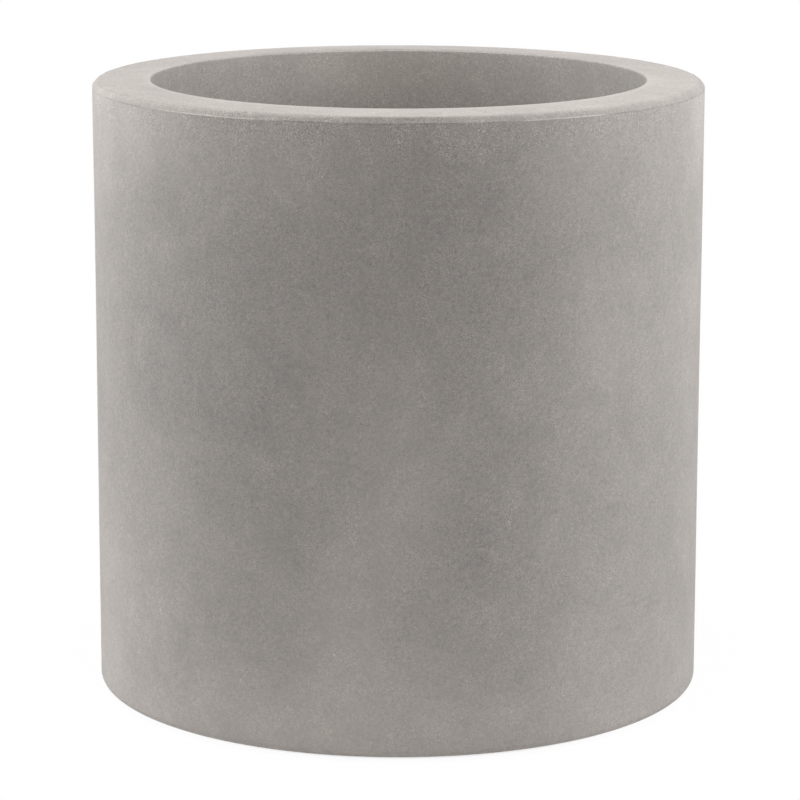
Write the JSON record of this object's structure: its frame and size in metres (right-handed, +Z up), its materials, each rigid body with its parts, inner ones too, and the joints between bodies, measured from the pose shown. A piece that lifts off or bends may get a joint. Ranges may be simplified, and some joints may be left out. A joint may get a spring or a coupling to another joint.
{
  "type": "cylindrical planter",
  "caption": "Straight-sided round floor planter with a wide flat rim, a double wall, a drain and a lift-out self-watering set.",
  "frame": {"origin": "on the pot's axis at the level of the feet's undersides", "axes": "+Z up along the pot's axis, -Y towards the filler tube's side, which faces the camera"},
  "size_m": [0.4948, 0.4946, 0.5],
  "materials": {
    "shell": "matte sandy stone texture, softly mottled warm grey",
    "black_plastic": "matte moulded",
    "grey_plastic": "satin moulded",
    "rubber": "matte",
    "steel": "zinc plated",
    "brass": "turned",
    "clear_plastic": "clear, polished",
    "float_foam": "closed-cell foam",
    "white_plastic": "extruded",
    "red_plastic": "moulded"
  },
  "bodies": {
    "planter": {"outer_shell": "shell", "inner_liner": "shell", "base_plate": "black_plastic", "base_plate_screws": "steel", "threaded_inserts": "brass", "foot_1": "rubber", "foot_2": "rubber", "foot_3": "rubber", "foot_4": "rubber", "foot_5": "rubber", "foot_6": "rubber", "drain_bush": "grey_plastic", "bush_gasket": "rubber", "bush_nut": "grey_plastic"},
    "seal": {"plug_seal": "rubber"},
    "plug": {"drain_plug": "grey_plastic"},
    "watering_set": {"soil_platform": "black_plastic", "wick_well_1": "black_plastic", "wick_well_2": "black_plastic", "wick_well_3": "black_plastic", "wick_well_4": "black_plastic", "filler_tube": "black_plastic"},
    "cap": {"filler_cap": "black_plastic", "gauge_dome": "clear_plastic"},
    "gauge": {"float": "float_foam", "float_rod": "white_plastic", "level_flag": "red_plastic"}
  },
  "joints": [
    {"name": "watering_set_lift", "type": "slide", "parent": "planter", "child": "watering_set", "axis": [0, 0, 1], "range_m": [0, 0.46]},
    {"name": "plug_rise", "type": "slide", "parent": "planter", "child": "seal", "axis": [0, 0, 1], "range_m": [0, 0.0121]},
    {"name": "plug_turn", "type": "hinge", "parent": "seal", "child": "plug", "pos_m": [0, 0, 0.068], "axis": [0, 0, 1], "range_deg": [0, 1080]},
    {"name": "cap_lift", "type": "slide", "parent": "watering_set", "child": "cap", "axis": [0, 0, 1], "range_m": [0, 0.07]},
    {"name": "float_rise", "type": "slide", "parent": "watering_set", "child": "gauge", "axis": [0, 0, 1], "range_m": [0, 0.036]}
  ],
  "couplings": [
    {"joint": "plug_rise", "follows": "plug_turn", "m_per_rad": 0.00063662}
  ]
}
